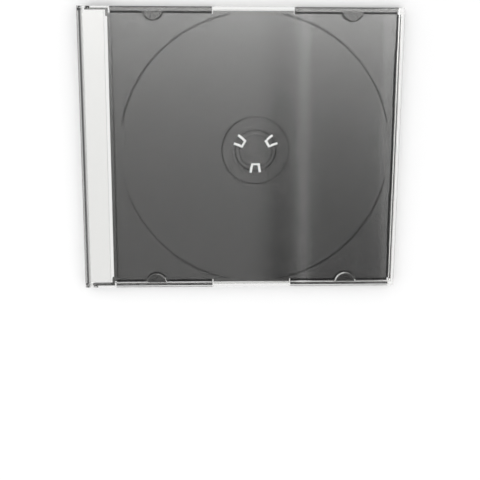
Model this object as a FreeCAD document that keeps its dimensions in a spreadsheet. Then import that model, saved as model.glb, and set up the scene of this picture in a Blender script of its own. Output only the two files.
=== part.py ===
import FreeCAD, Part
import os
import re

# A slim storage case for one disc: a clear lid hinged on a black tray.
# The case lies on its back. X runs from the spine to the opening side, Y across, Z up through the lid.
SIZES = {
    # The disc and the margins left around it
    "disc_radius": 60.0,
    "disc_clearance": 0.3,
    "side_margin": 2.2,
    "end_margin": 4.2,
    # Outside of the closed case
    "case_height": 5.2,
    "edge_round": 0.4,
    # Lid mouldings
    "lid_plate": 1.1,
    "thin_wall": 1.3,
    "rail_wall": 1.9,
    "end_wall": 2.0,
    "spine_wall": 2.0,
    "spine_taper": 0.8,
    "taper_high": 3.6,
    "spine_gap": 0.4,
    "flap_reach": 11.2,
    "flap_thick": 1.0,
    "rail_start": 13.4,
    "middle_start": 58.3,
    "middle_end": 94.0,
    "end_step": 1.3,
    # Half-moon tabs that hold a booklet under the lid
    "tab_near": 32.3,
    "tab_far": 119.6,
    "tab_radius": 4.5,
    "tab_lean": 0.4,
    "tab_inset": 1.2,
    "tab_low": 2.6,
    "tab_thick": 0.7,
    "tab_dish_radius": 3.75,
    "tab_rim_high": 0.25,
    # Hinge: pegs on the tray's arms turn in holes in the lid's ears
    "pivot_x": 4.5,
    "pivot_z": 2.6,
    "peg_radius": 1.0,
    "peg_clearance": 0.05,
    "peg_end_inset": 0.3,
    "ear_wall": 0.7,
    "arm_radius": 1.3,
    "arm_thick": 0.7,
    "arm_gap": 0.15,
    "arm_root": 0.8,
    "root_lap": 0.2,
    # Tray
    "tray_start": 13.0,
    "tray_floor": 1.1,
    "hinge_wall": 1.4,
    "lid_gap": 0.2,
    "middle_gap": 0.3,
    # Ledge along the tray's edge that the lid comes to rest on, and the groove beside it
    "ledge_high": 1.6,
    "ledge_inset": 0.3,
    "ledge_bevel": 0.3,
    "ear_clear": 0.45,
    "middle_clear": 0.2,
    "end_clear": 0.4,
    "rest_gap": 0.05,
    "groove_wide": 0.9,
    "groove_floor": 0.5,
    "clip_start": 19.5,
    "clip_length": 25.0,
    "clip_deep": 0.3,
    # Disc seat: ring ribs, step, hub and its three spring tongues
    "rib_thick": 0.75,
    "rib_lean": 0.25,
    "rib_high": 0.5,
    "rib_gap_angle": 11.5,
    "seat_wide": 6.3,
    "seat_high": 0.4,
    "seat_lean": 0.4,
    "hub_radius": 7.4,
    "hub_high": 1.9,
    "hub_lead": 0.3,
    "hub_groove": 1.6,
    "tongue_thick": 0.65,
    "slot_wide": 1.1,
    "slot_bar_length": 3.8,
    "slot_leg_beyond": 2.7,
    "slot_splay": 10.0,
    "catch_reach": 0.15,
    "catch_wide": 1.6,
    "catch_high": 0.35,
}

doc = FreeCAD.newDocument("slim_case")
sheet = doc.addObject("Spreadsheet::Sheet", "size")
for row, (alias, value) in enumerate(SIZES.items(), start=1):
    sheet.set("A%d" % row, alias)
    sheet.set("B%d" % row, str(value))
    sheet.setAlias("B%d" % row, alias)
doc.recompute()


# Sizes that follow from others: the disc sets the case's outside, the hinge arms set the spine's ends
DISC_ROOM = "(disc_radius + disc_clearance)"
HUB_X = "(tray_start + end_margin + %s)" % DISC_ROOM
CASE_LONG = "(%s + %s + end_margin)" % (HUB_X, DISC_ROOM)
CASE_HALF = "(%s + side_margin)" % DISC_ROOM
INNER_HALF = "(%s - thin_wall)" % CASE_HALF
RAIL_FACE = "(%s - rail_wall)" % CASE_HALF
UNDER_PLATE = "(case_height - lid_plate)"
EAR_FACE = "(%s - ear_wall)" % CASE_HALF
ARM_OUTER = "(%s - arm_gap)" % EAR_FACE
ARM_INNER = "(%s - arm_thick)" % ARM_OUTER
SPINE_HALF = "(%s - spine_gap)" % ARM_INNER
REST_HIGH = "(ledge_high + rest_gap)"
END_FACE = "(%s - end_wall)" % CASE_LONG
TRAY_LEFT = "(tray_start - %s)" % HUB_X
TRAY_HALF = "(%s - groove_wide)" % RAIL_FACE
MIDDLE_HALF = "(%s - middle_gap)" % INNER_HALF
LEDGE_HALF = "(%s - ledge_inset)" % CASE_HALF
END_LEDGE = "(%s - %s)" % (END_FACE, HUB_X)
PEG_X = "(pivot_x - %s)" % HUB_X
HUB_TOP = "(tray_floor + hub_high)"
SEAT_INNER = "(hub_radius + hub_groove)"
SLOT_OUTER = "(hub_radius - tongue_thick)"
LEG_END = "(hub_radius + slot_leg_beyond)"
LEG_LONG = "(%s - %s + slot_wide)" % (LEG_END, SLOT_OUTER)
LEG_SPREAD = "%s * sin(slot_splay)" % LEG_LONG


def bind(feature, **expressions):
    """Tie properties of a feature to sums of the named sizes."""
    for name, text in expressions.items():
        linked = re.sub(r"\b([a-z]+_[a-z_]+)\b", r"size.\1", str(text))
        feature.setExpression(name.replace("__", "."), linked)


def put(feature, x, y, z):
    """Tie a feature's own corner or centre to the named sizes."""
    bind(feature, Placement__Base__x=x, Placement__Base__y=y, Placement__Base__z=z)


def box(body, kind, name, x, y, z):
    """Add or cut a block; each of x, y, z is a pair: start and extent."""
    feature = body.newObject("PartDesign::%sBox" % kind, name)
    bind(feature, Length=x[1], Width=y[1], Height=z[1])
    put(feature, x[0], y[0], z[0])
    return feature


def across(half):
    """Start and extent of a span centred across the case."""
    return ("-%s" % half, "2 * %s" % half)


def turned(angle):
    """A placement turned about the upright axis by a number of degrees or a named size."""
    return FreeCAD.Placement(FreeCAD.Vector(), FreeCAD.Vector(0, 0, 1), SIZES.get(angle, angle))


def disc(body, kind, name, centre, radius, height):
    """Add or cut an upright cylinder."""
    feature = body.newObject("PartDesign::%sCylinder" % kind, name)
    bind(feature, Radius=radius, Height=height)
    put(feature, *centre)
    return feature


def cone(body, kind, name, centre, foot, top, height, sweep="360", turn=0):
    """Add or cut an upright cone or a sector of one: radius foot at the bottom, radius top above it."""
    feature = body.newObject("PartDesign::%sCone" % kind, name)
    feature.Placement = turned(turn)
    bind(feature, Radius1=foot, Radius2=top, Height=height, Angle=sweep)
    put(feature, *centre)
    return feature


def groove_slope(body, name, along, start):
    """Add a strip along X, from floor height at its inner side down to the thin floor of the groove."""
    feature = body.newObject("PartDesign::AdditiveWedge", name)
    feature.Placement = turned(start[3])
    bind(feature, Xmin=along[0], X2min=along[0], Xmax=along[1], X2max=along[1])
    bind(feature, Ymin="0", Ymax="groove_wide", Zmin="0", Z2min="0", Zmax="tray_floor", Z2max="groove_floor")
    put(feature, *start[:3])
    return feature


def cross_disc(body, kind, name, centre, radius, height):
    """Add or cut a cylinder whose axis runs along Y."""
    feature = body.newObject("PartDesign::%sCylinder" % kind, name)
    feature.Placement = FreeCAD.Placement(FreeCAD.Vector(), FreeCAD.Vector(1, 0, 0), -90)
    bind(feature, Radius=radius, Height=height)
    put(feature, *centre)
    return feature


def origin(body, role):
    return next(item for item in body.Origin.OriginFeatures if item.Role == role)


def mirror(body, name, original):
    """Repeat a feature on the other long side."""
    feature = body.newObject("PartDesign::Mirrored", name)
    feature.Originals = [original]
    feature.MirrorPlane = (origin(body, "XZ_Plane"), [""])
    body.Tip = feature
    return feature


def around(body, name, original, count):
    """Repeat a feature evenly around the hub's axis."""
    feature = body.newObject("PartDesign::PolarPattern", name)
    feature.Originals = [original]
    feature.Axis = (origin(body, "Z_Axis"), [""])
    feature.Angle = 360
    feature.Occurrences = count
    body.Tip = feature
    return feature


def edges_where(shape, test):
    """Names of the straight edges whose two ends both pass the test."""
    found = []
    for index, edge in enumerate(shape.Edges, start=1):
        if all(test(vertex.Point) for vertex in edge.Vertexes):
            found.append("Edge%d" % index)
    return found


# Lid: one clear moulding with its origin at the middle of the spine's lower edge
lid = doc.addObject("PartDesign::Body", "lid")
lid.Label = "lid"
bind(lid, Placement__Base__x="-%s / 2" % CASE_LONG)

block = box(lid, "Additive", "lid_block", ("0", CASE_LONG), across(CASE_HALF), ("0", "case_height"))
doc.recompute()

# The spine's face leans inwards towards the back of the case
taper = lid.newObject("PartDesign::Chamfer", "spine_lean")
taper.Base = (block, edges_where(block.Shape, lambda p: p.x < 0.01 and p.z < 0.01))
taper.ChamferType = "Two distances"
bind(taper, Size="taper_high", Size2="spine_taper")
doc.recompute()

# Rounded rim of the front plate and the two upright corners at the opening side
outside = taper.Shape.BoundBox
rim = edges_where(taper.Shape, lambda p: p.z > outside.ZMax - 0.01)
end_face = edges_where(taper.Shape, lambda p: p.x > outside.XMax - 0.01)
upright = [name for name in end_face if taper.Shape.getElement(name).BoundBox.ZLength > 1]
rounds = lid.newObject("PartDesign::Fillet", "lid_rounds")
rounds.Base = (taper, rim + upright)
bind(rounds, Radius="edge_round")
doc.recompute()

# Hollow inside of the lid; beside the hinge its long walls thin to ears, and the spine stops short of them
box(lid, "Subtractive", "lid_hollow", ("spine_wall", "%s - spine_wall" % END_FACE),
    across(INNER_HALF), ("0", UNDER_PLATE))
arm_swing = box(lid, "Subtractive", "arm_swing", ("-spine_taper", "rail_start + spine_taper"),
                (SPINE_HALF, "%s - %s" % (EAR_FACE, SPINE_HALF)), ("0", UNDER_PLATE))
mirror(lid, "arm_swings", arm_swing)

# Back flap of the spine, a lip behind the clear strip
box(lid, "Additive", "back_flap", ("spine_wall - spine_taper", "flap_reach - spine_wall + spine_taper"),
    across(SPINE_HALF), ("0", "flap_thick"))

# Thick rails along both long walls, cut short below to come down on the tray's ledge
RAILS = {
    "near": ("rail_start", "middle_start - rail_start"),
    "far": ("middle_end", "%s - middle_end" % END_FACE),
}
for side, span in RAILS.items():
    rail = box(lid, "Additive", "%s_rail" % side, span, (RAIL_FACE, "rail_wall - thin_wall / 2"),
               (REST_HIGH, "%s - %s + lid_plate / 2" % (UNDER_PLATE, REST_HIGH)))
    mirror(lid, "%s_rails" % side, rail)
    rest = box(lid, "Subtractive", "%s_rest" % side, span, (RAIL_FACE, "2 * rail_wall"), ("0", REST_HIGH))
    mirror(lid, "%s_rests" % side, rest)

# The wall at the opening side is stepped the same way, on its inner half only
box(lid, "Subtractive", "end_rest", (END_FACE, "end_step"), across(INNER_HALF), ("0", REST_HIGH))

# Half-moon tabs with a leaning edge and a raised rim
for side in ("near", "far"):
    foot = ("tab_%s" % side, "%s - tab_inset" % CASE_HALF, "tab_low")
    tab = cone(lid, "Additive", "%s_tab" % side, foot, "tab_radius + tab_lean", "tab_radius",
               "tab_thick + tab_rim_high", sweep="180", turn=180)
    mirror(lid, "%s_tabs" % side, tab)
    floor = ("tab_%s" % side, RAIL_FACE, "tab_low + tab_thick")
    dish = cone(lid, "Subtractive", "%s_tab_dish" % side, floor, "tab_dish_radius",
                "tab_dish_radius + tab_rim_high", "tab_rim_high", sweep="180", turn=180)
    mirror(lid, "%s_tab_dishes" % side, dish)

# The hole in each ear turns on the tray's peg
hole = cross_disc(lid, "Subtractive", "pivot_hole", ("pivot_x", "%s - ear_wall" % EAR_FACE, "pivot_z"),
                  "peg_radius + peg_clearance", "3 * ear_wall")
mirror(lid, "pivot_holes", hole)

# Tray: one black moulding with its origin on the hub's axis at the back face
tray = doc.addObject("PartDesign::Body", "tray")
tray.Label = "tray"
bind(tray, Placement__Base__x="%s - %s / 2" % (HUB_X, CASE_LONG))

box(tray, "Additive", "tray_floor", (TRAY_LEFT, "%s - groove_wide - %s" % (END_LEDGE, TRAY_LEFT)),
    across(TRAY_HALF), ("0", "tray_floor"))
box(tray, "Additive", "tray_middle", ("middle_start + middle_clear - %s" % HUB_X,
    "middle_end - middle_start - 2 * middle_clear"), across(MIDDLE_HALF), ("0", "tray_floor"))

# Ledge along both long sides, under the lid's rails, beyond a narrow groove with a sloping floor
LEDGES = {
    "near": ("rail_start + ear_clear - %s" % HUB_X,
             "middle_start - rail_start - ear_clear - middle_clear"),
    "far": ("middle_end + middle_clear - %s" % HUB_X,
            "%s - middle_end - middle_clear - end_clear" % END_FACE),
}
for side, span in LEDGES.items():
    fall = groove_slope(tray, "%s_groove" % side, ("0", span[1]), (span[0], TRAY_HALF, "0", 0))
    mirror(tray, "%s_grooves" % side, fall)
    ledge = box(tray, "Additive", "%s_ledge" % side, span, (RAIL_FACE, "%s - %s" % (LEDGE_HALF, RAIL_FACE)),
                ("0", "ledge_high"))
    mirror(tray, "%s_ledges" % side, ledge)
doc.recompute()

# The ledges' lower outer edges are bevelled
ledged = tray.Tip
brink = ledged.Shape.BoundBox.YMax - 0.01
bevel = tray.newObject("PartDesign::Chamfer", "ledge_bevels")
bevel.Base = (ledged, edges_where(ledged.Shape, lambda p: abs(p.y) > brink and p.z < 0.01))
bind(bevel, Size="ledge_bevel")

# The same groove and ledge at the opening side, where two long clips push the groove further in
END_GROOVE = "(%s - groove_wide)" % END_LEDGE
CLIP_GROOVE = "(%s - clip_deep)" % END_GROOVE
clip_span = ("clip_start", "clip_length")
groove_slope(tray, "end_groove", ("-%s" % TRAY_HALF, TRAY_HALF), (END_GROOVE, "0", "0", -90))
box(tray, "Additive", "end_ledge", (END_LEDGE, "end_step - end_clear"), across(TRAY_HALF),
    ("0", "ledge_high"))
room = box(tray, "Subtractive", "clip_room", (CLIP_GROOVE, "groove_wide"), clip_span, ("0", "tray_floor"))
mirror(tray, "clip_rooms", room)
fall = groove_slope(tray, "clip_groove", ("-(clip_start + clip_length)", "-clip_start"),
                    (CLIP_GROOVE, "0", "0", -90))
mirror(tray, "clip_grooves", fall)
clip = box(tray, "Additive", "edge_clip", ("%s - clip_deep" % END_LEDGE, "clip_deep"), clip_span,
           ("0", "ledge_high"))
mirror(tray, "edge_clips", clip)

ON_FLOOR = ("0", "0", "tray_floor")

# Four arc ribs round the disc's edge, with both flanks leaning in to a narrow top
rib = cone(tray, "Additive", "disc_rib", ON_FLOOR, "%s + rib_thick" % DISC_ROOM,
           "%s + rib_thick - rib_lean" % DISC_ROOM, "rib_high",
           sweep="90 - 2 * rib_gap_angle", turn="rib_gap_angle")
around(tray, "disc_ribs", rib, 4)
cone(tray, "Subtractive", "disc_room", ON_FLOOR, DISC_ROOM, "%s + rib_lean" % DISC_ROOM, "rib_high")

# Wall beside the hinge, with a root at each end that carries an arm outside it
box(tray, "Additive", "hinge_wall", (TRAY_LEFT, "hinge_wall"), across(TRAY_HALF),
    ("0", "%s - lid_gap" % UNDER_PLATE))
root = box(tray, "Additive", "arm_base", ("%s - arm_root" % TRAY_LEFT, "arm_root + root_lap"),
           ("%s - hinge_wall" % TRAY_HALF, "%s - %s + hinge_wall" % (ARM_OUTER, TRAY_HALF)),
           ("pivot_z - arm_radius", "2 * arm_radius"))
mirror(tray, "arm_bases", root)

# Hinge arms with round ends and pegs
arm = box(tray, "Additive", "hinge_arm", (PEG_X, "tray_start - pivot_x - arm_root / 2"),
          (ARM_INNER, "arm_thick"), ("pivot_z - arm_radius", "2 * arm_radius"))
mirror(tray, "hinge_arms", arm)
arm_end = cross_disc(tray, "Additive", "arm_end", (PEG_X, ARM_INNER, "pivot_z"), "arm_radius", "arm_thick")
mirror(tray, "arm_ends", arm_end)
peg = cross_disc(tray, "Additive", "hinge_peg", (PEG_X, "%s - arm_thick / 2" % ARM_OUTER, "pivot_z"),
                 "peg_radius", "%s - peg_end_inset - %s + arm_thick / 2" % (CASE_HALF, ARM_OUTER))
mirror(tray, "hinge_pegs", peg)

# Raised step the disc rests on, with sloped flanks
cone(tray, "Additive", "disc_seat", ON_FLOOR, "%s + seat_wide" % SEAT_INNER,
     "%s + seat_wide - seat_lean" % SEAT_INNER, "seat_high")
cone(tray, "Subtractive", "seat_groove", ON_FLOOR, SEAT_INNER, "%s + seat_lean" % SEAT_INNER,
     "seat_high")

# Hollow hub standing in the middle of the step, with a lead-in round its top
disc(tray, "Additive", "hub", ("0", "0", "tray_floor / 2"), "hub_radius",
     "tray_floor / 2 + hub_high - hub_lead")
cone(tray, "Additive", "hub_top", ("0", "0", "%s - hub_lead" % HUB_TOP), "hub_radius",
     "hub_radius - hub_lead", "hub_lead")
disc(tray, "Subtractive", "hub_hollow", ("0", "0", "tray_floor"), "%s - slot_wide" % SLOT_OUTER, "hub_high")

# Three spring tongues: a catch at the top of each, freed by a splayed slot through hub and floor
catch = box(tray, "Additive", "tongue_catch", ("-catch_wide / 2", "catch_wide"),
            ("-(hub_radius + catch_reach)", "catch_reach + tongue_thick / 2"),
            ("%s - catch_high" % HUB_TOP, "catch_high"))
around(tray, "tongue_catches", catch, 3)
bar = box(tray, "Subtractive", "slot_bar", ("-slot_bar_length / 2", "slot_bar_length"),
          ("-%s" % SLOT_OUTER, "slot_wide"), ("0", HUB_TOP))
around(tray, "slot_bars", bar, 3)
SLOT_LEGS = {
    "left": (-1, "-(slot_bar_length / 2 + %s)" % LEG_SPREAD),
    "right": (1, "slot_bar_length / 2 + %s - slot_wide * cos(slot_splay)" % LEG_SPREAD),
}
for hand, (sign, start) in SLOT_LEGS.items():
    leg = tray.newObject("PartDesign::SubtractiveBox", "slot_%s_leg" % hand)
    leg.Placement = FreeCAD.Placement(FreeCAD.Vector(), FreeCAD.Vector(0, 0, 1), sign * SIZES["slot_splay"])
    bind(leg, Length="slot_wide", Width=LEG_LONG, Height=HUB_TOP)
    put(leg, start, "-%s" % LEG_END, "0")
    around(tray, "slot_%s_legs" % hand, leg, 3)
doc.recompute()


def confirm(body):
    """Stop unless every feature computed, and each one changed the solid it was given."""
    before = 0.0
    for feature in body.Group:
        if not hasattr(feature, "Shape"):
            continue
        if "Invalid" in feature.State or "Error" in feature.State:
            raise ValueError("%s did not compute: %s" % (feature.Name, feature.State))
        if feature.Shape.isNull() or not feature.Shape.isValid():
            raise ValueError("%s has no valid shape" % feature.Name)
        if abs(feature.Shape.Volume - before) < 1e-4:
            raise ValueError("%s changes nothing" % feature.Name)
        if len(feature.Shape.Solids) != 1:
            boxes = [str(solid.BoundBox) for solid in feature.Shape.Solids]
            raise ValueError("%s leaves separate solids: %s" % (feature.Name, boxes))
        before = feature.Shape.Volume


os.makedirs("parts", exist_ok=True)
for body in (tray, lid):
    confirm(body)
    body.Shape.exportStep("parts/%s.step" % body.Label)
    bounds = body.Shape.BoundBox
    print(body.Label, "volume %.0f mm3" % body.Shape.Volume,
          "x %.2f..%.2f y %.2f..%.2f z %.2f..%.2f" % (bounds.XMin, bounds.XMax, bounds.YMin, bounds.YMax,
                                                      bounds.ZMin, bounds.ZMax))
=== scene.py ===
import math

import bpy
import numpy as np
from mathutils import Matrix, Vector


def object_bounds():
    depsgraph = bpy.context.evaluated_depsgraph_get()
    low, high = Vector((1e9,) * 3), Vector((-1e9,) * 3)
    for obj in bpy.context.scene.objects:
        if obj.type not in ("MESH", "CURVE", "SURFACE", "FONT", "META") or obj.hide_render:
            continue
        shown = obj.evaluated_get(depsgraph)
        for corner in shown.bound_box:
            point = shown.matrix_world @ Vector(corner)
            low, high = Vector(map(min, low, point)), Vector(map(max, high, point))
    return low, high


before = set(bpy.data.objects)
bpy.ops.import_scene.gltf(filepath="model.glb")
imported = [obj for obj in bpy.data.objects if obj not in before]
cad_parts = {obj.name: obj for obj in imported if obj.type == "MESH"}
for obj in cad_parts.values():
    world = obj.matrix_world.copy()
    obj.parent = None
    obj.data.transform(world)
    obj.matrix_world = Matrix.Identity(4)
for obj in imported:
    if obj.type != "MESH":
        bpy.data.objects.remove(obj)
cad_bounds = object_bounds()

# Tray: the case's black base, with the disc ring, the hub and the hinge arms moulded in one piece.
# Black polystyrene from a polished mould. Its gloss mirrors the room, drifts a little from patch to patch,
# and lies on a skin with very slight ripples, drawn coarser than real ones so that they show.


def colour(code):
    """Linear colour with full alpha from an sRGB hex code."""
    parts = [int(code[i:i + 2], 16) / 255 for i in (0, 2, 4)]
    return [p / 12.92 if p <= 0.04045 else ((p + 0.055) / 1.055) ** 2.4 for p in parts] + [1.0]


def add(tree, kind, inputs=(), **settings):
    """Adds a node. Its inputs are given in order or by name, and a node or socket among them is linked."""
    node = tree.nodes.new(kind)
    for name, setting in settings.items():
        setattr(node, name, setting)
    for name, value in inputs.items() if isinstance(inputs, dict) else enumerate(inputs):
        source = value.outputs[0] if isinstance(value, bpy.types.Node) else value
        if isinstance(source, bpy.types.NodeSocket):
            tree.links.new(source, node.inputs[name])
        else:
            node.inputs[name].default_value = source
    return node


def new_material(name):
    """An empty node material and its tree."""
    made = bpy.data.materials.new(name)
    made.use_nodes = True
    made.node_tree.nodes.clear()
    return made, made.node_tree


def wear(tree, patch_mm, smoothest, roughest):
    """Roughness that drifts in patches of that size. The noise lies mostly between 0.3 and 0.7."""
    place = add(tree, "ShaderNodeTexCoord").outputs["Object"]
    noise = add(tree, "ShaderNodeTexNoise", {"Vector": place, "Scale": 1000 / patch_mm, "Detail": 3.0})
    return add(tree, "ShaderNodeMapRange", (noise, 0.3, 0.7, smoothest, roughest))


polystyrene_ior = 1.59
gloss_patch_mm = 6.25
ripple_mm = 4.5
ripple_height_mm = 0.2
ripple_strength = 0.05

tray_look, tree = new_material("black_polystyrene")
place = add(tree, "ShaderNodeTexCoord").outputs["Object"]
ripples = add(tree, "ShaderNodeTexNoise", {"Vector": place, "Scale": 1000 / ripple_mm, "Detail": 2.0})
skin = add(tree, "ShaderNodeBump", {"Height": ripples, "Strength": ripple_strength,
                                    "Distance": ripple_height_mm / 1000})
moulding = add(tree, "ShaderNodeBsdfPrincipled", {"Base Color": colour("1b1b1b"), "IOR": polystyrene_ior,
                                                  "Specular IOR Level": 1.0, "Normal": skin,
                                                  "Roughness": wear(tree, gloss_patch_mm, 0.05, 0.09)})
add(tree, "ShaderNodeOutputMaterial", {"Surface": moulding})
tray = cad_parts["tray"]
tray.data.materials[0] = tray_look

# Lid: the case's clear front, with its rails, booklet tabs, spine and hinge ears moulded in one piece.
# Clear polystyrene from a polished mould, with a faint haze from handling. It bends what is seen through it
# and lets lamplight straight through, so that the tray under it stays lit.
haze_patch_mm = 16.5

lid_look, tree = new_material("clear_polystyrene")
clear = add(tree, "ShaderNodeBsdfPrincipled", {"Base Color": colour("fbfbfa"), "IOR": polystyrene_ior,
                                               "Transmission Weight": 1.0,
                                               "Roughness": wear(tree, haze_patch_mm, 0.012, 0.03)})
passing = add(tree, "ShaderNodeBsdfTransparent", {"Color": colour("f5f5f4")})
rays = add(tree, "ShaderNodeLightPath")
pane = add(tree, "ShaderNodeMixShader", (rays.outputs["Is Shadow Ray"], clear, passing))
add(tree, "ShaderNodeOutputMaterial", {"Surface": pane})
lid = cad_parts["lid"]
lid.data.materials[0] = lid_look

# Floor: a plain pale sheet under the case, large enough to fill every view.
# Matt white paper with a faint unevenness, which takes the case's soft shadow. Seen through the lid it has
# a painted white glow, an emission in place of its lit white, and one painted dark line of shade under the
# spine's edge to give that edge its depth.
floor_half = 3.0
gap_under_case = 0.00005
corners = floor_half * np.array([(-1, -1, 0), (1, -1, 0), (1, 1, 0), (-1, 1, 0)], dtype=float)
corners[:, 2] = -gap_under_case
sheet = bpy.data.meshes.new("floor")
sheet.from_pydata(corners.tolist(), [], [(0, 1, 2, 3)])
floor = bpy.data.objects.new("floor", sheet)
bpy.context.collection.objects.link(floor)

unevenness_mm = 33
spine_edge = cad_bounds[0][0]
# The painted dark line of shade runs along the spine's edge, from where the painted glow starts to where it
# reaches full strength.
painted_shade_line_begins = (spine_edge - 0.0015, spine_edge - 0.0005)
painted_shade_line_ends = (spine_edge + 0.0009, spine_edge + 0.0022)

floor_look, tree = new_material("white_paper_with_painted_glow")
paper = add(tree, "ShaderNodeBsdfPrincipled", {"Base Color": colour("f4f4f4"), "IOR": 1.45,
                                               "Roughness": wear(tree, unevenness_mm, 0.85, 0.95)})
place = add(tree, "ShaderNodeTexCoord").outputs["Object"]
across = add(tree, "ShaderNodeSeparateXYZ", {"Vector": place}).outputs["X"]
# Painted glow: rays that crossed the lid see the floor as white emission, dimmed to a painted dark line of
# shade along the spine's edge.
painted_glow_and_shade_level = add(tree, "ShaderNodeMapRange", (across, *painted_shade_line_ends, 0.05, 1.0))
painted_glow_area = add(tree, "ShaderNodeMapRange", (across, *painted_shade_line_begins, 0.0, 1.0))
painted_glow = add(tree, "ShaderNodeEmission", {"Color": colour("fafafa"), "Strength": painted_glow_and_shade_level})
rays = add(tree, "ShaderNodeLightPath")
through_lid = add(tree, "ShaderNodeMath", (rays.outputs["Is Transmission Ray"], painted_glow_area),
                  operation="MULTIPLY")
ground = add(tree, "ShaderNodeMixShader", (through_lid, paper, painted_glow))
add(tree, "ShaderNodeOutputMaterial", {"Surface": ground})
floor.data.materials.append(floor_look)

# Studio surround: a soft panel over the case in a dim room, with two narrow strip lights on its right.
# The polished tray mirrors them, as a shading from its far edge to its near edge and two pale streaks.
# All limits are parts of a ray's direction: across to the right, along to the far side, and upward.
world = bpy.data.worlds.new("studio")
world.use_nodes = True
tree = world.node_tree
tree.nodes.clear()
direction = add(tree, "ShaderNodeTexCoord").outputs["Generated"]
across, along, upward = add(tree, "ShaderNodeSeparateXYZ", {"Vector": direction}).outputs
soft = {"interpolation_type": "SMOOTHSTEP"}

# The panel brightens as a power of e towards its far end, and more slowly to the right.
panel_end = 0.12
growth_along = 10.0
growth_across = 1.3
panel_level = 0.96
reach = add(tree, "ShaderNodeMath", (along, panel_end), operation="MINIMUM")
tilt = add(tree, "ShaderNodeMath", (across, growth_across), operation="MULTIPLY")
growth = add(tree, "ShaderNodeMath", (reach, growth_along, tilt), operation="MULTIPLY_ADD")
panel = add(tree, "ShaderNodeMath", (growth,), operation="EXPONENT")

# The room's own level steps down on the right. Each band there is given by a soft start, a soft end
# and the change of level between them.
left_level, right_level = 0.45, 0.25
level_step = (0.062, 0.084)
dark_gap = (0.080, 0.086, 0.098, 0.105, -0.09)
inner_strip = (0.106, 0.115, 0.118, 0.128, 0.50)
outer_strip = (0.198, 0.206, 0.212, 0.220, 0.50)
room = add(tree, "ShaderNodeMapRange", (across, *level_step, left_level, right_level), **soft)
for begin, full, fading, end, change in (dark_gap, inner_strip, outer_strip):
    entered = add(tree, "ShaderNodeMapRange", (across, begin, full, 0.0, change), **soft)
    inside = add(tree, "ShaderNodeMapRange", (across, fading, end, 1.0, 0.0), **soft)
    room = add(tree, "ShaderNodeMath", (entered, inside, room), operation="MULTIPLY_ADD")
room = add(tree, "ShaderNodeMath", (panel, panel_level, room), operation="MULTIPLY_ADD")

# Past the panel's sides and its far end, and low down, the room is darker.
sideways = add(tree, "ShaderNodeMath", (across,), operation="ABSOLUTE")
past_sides = (sideways, 0.27, 0.42, 1.0, 0.25)
past_end = (along, 0.10, 0.22, 1.0, 0.25)
low_down = (upward, 0.15, 0.70, 0.15, 1.0)
for limits in (past_sides, past_end, low_down):
    share = add(tree, "ShaderNodeMapRange", limits, **soft)
    room = add(tree, "ShaderNodeMath", (room, share), operation="MULTIPLY")

# Light that goes through the lid to the tray and back has crossed the lid's faces three or four times.
# It counts more than light that glances off the lid, as through a polarising filter.
glancing, crossing = 0.3, 1.85
rays = add(tree, "ShaderNodeLightPath")
crossed = add(tree, "ShaderNodeMath", (rays.outputs["Transmission Depth"], 3.5, 1.0), operation="COMPARE")
filtered = add(tree, "ShaderNodeMix", {"Factor": crossed, "A": glancing, "B": crossing})
room = add(tree, "ShaderNodeMath", (room, filtered), operation="MULTIPLY")

# Pale walls, low all round, give the outside of the lid its sheen in low views.
wall_level = 0.3
wall_tops = (0.25, 0.75)
walls = add(tree, "ShaderNodeMapRange", (upward, *wall_tops, wall_level, 0.0), **soft)
outside = add(tree, "ShaderNodeMath", (1.0, crossed), operation="SUBTRACT")
room = add(tree, "ShaderNodeMath", (walls, outside, room), operation="MULTIPLY_ADD")

# The background is plain white to the eye, and matt surfaces are lit by the same white.
plain = add(tree, "ShaderNodeMath", (rays.outputs["Is Camera Ray"], rays.outputs["Is Diffuse Ray"]),
            operation="MAXIMUM")
level = add(tree, "ShaderNodeMix", {"Factor": plain, "A": room, "B": 1.0})
surround = add(tree, "ShaderNodeBackground", {"Color": colour("ffffff"), "Strength": level})
add(tree, "ShaderNodeOutputWorld", {"Surface": surround})
bpy.context.scene.world = world

# Softbox: one large square lamp above the case's near left corner, turned towards the case.
# It gives the shadow its direction, and it leaves no hard mirror image of itself on the lid.
lamp = bpy.data.lights.new("softbox", "AREA")
lamp.shape = "SQUARE"
lamp.size = 0.9
lamp.energy = 8.0
softbox = bpy.data.objects.new("softbox", lamp)
softbox.location = (-1.0, -0.8, 1.2)
softbox.rotation_euler = (math.radians(40), 0, math.radians(-51))
softbox.visible_glossy = False
bpy.context.collection.objects.link(softbox)

# Camera: the photograph's view of the case's front, from above, because the case lies on its back.
# Its place, its turn and its lens are fitted to the case's width and its disc ring in the photograph.
lens = bpy.data.cameras.new("view")
lens.sensor_width = 36.0
lens.lens = 66.66
lens.clip_start = 0.01
camera = bpy.data.objects.new("view", lens)
camera.location = (-0.01894, 0.0477, 0.4)
camera.rotation_euler = [math.radians(angle) for angle in (-12.584, -2.627, 0.268)]
bpy.context.collection.objects.link(camera)
bpy.context.scene.camera = camera
bpy.context.scene.view_settings.view_transform = "Standard"
